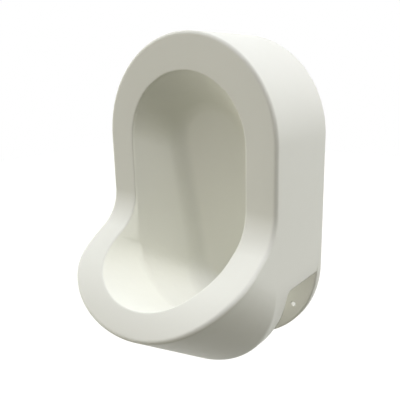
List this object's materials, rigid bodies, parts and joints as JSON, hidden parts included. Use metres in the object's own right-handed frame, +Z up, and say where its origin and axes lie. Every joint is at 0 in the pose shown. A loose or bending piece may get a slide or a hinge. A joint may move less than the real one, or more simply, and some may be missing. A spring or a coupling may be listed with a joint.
{
  "type": "wall hung urinal",
  "caption": "Wall hung urinal: round-topped vitreous china body with a forward-sloping bowl lip, rear flange with fixing pockets, lift-out trap cartridge and concealed outlet.",
  "frame": {"origin": "on the wall plane, midway between the two lower fixing holes", "axes": "+X to the right, +Y into the wall, +Z up"},
  "size_m": [0.36, 0.3907, 0.6172],
  "materials": {
    "china": "off-white gloss glaze",
    "seal_rubber": "black EPDM, matt",
    "collar_steel": "stainless, satin",
    "housing_plastic": "black polypropylene, moulded",
    "pipe_plastic": "pale grey polypropylene",
    "cartridge_plastic": "blue moulded plastic",
    "membrane_rubber": "translucent grey silicone",
    "cover_steel": "stainless, satin",
    "bracket_steel": "zinc plated, satin",
    "screw_steel": "zinc plated",
    "plug_plastic": "grey nylon"
  },
  "bodies": {
    "urinal": {"ceramic_body": "china", "collar_seal": "seal_rubber", "waste_collar": "collar_steel", "housing_seal": "seal_rubber", "trap_housing": "housing_plastic", "cleanout_seal": "seal_rubber", "cleanout_plug": "housing_plastic", "outlet_pipe": "pipe_plastic", "slip_seal": "seal_rubber", "slip_nut": "housing_plastic", "hanger_bracket_left": "bracket_steel", "hanger_bracket_right": "bracket_steel", "hanger_pads": "seal_rubber", "hanger_screws": "screw_steel", "wall_plugs": "plug_plastic"},
    "cartridge": {"cartridge_body": "cartridge_plastic", "upper_sealing_ring": "seal_rubber", "lower_sealing_ring": "seal_rubber", "valve_membrane": "membrane_rubber", "membrane_retainer": "cartridge_plastic"},
    "cover": {"trap_cover": "cover_steel"}
  },
  "joints": [
    {"name": "cartridge_lift", "type": "slide", "parent": "urinal", "child": "cartridge", "axis": [0, 0, 1], "range_m": [0, 0.09]},
    {"name": "cover_lift", "type": "slide", "parent": "cartridge", "child": "cover", "axis": [0, 0, 1], "range_m": [0, 0.03]}
  ]
}
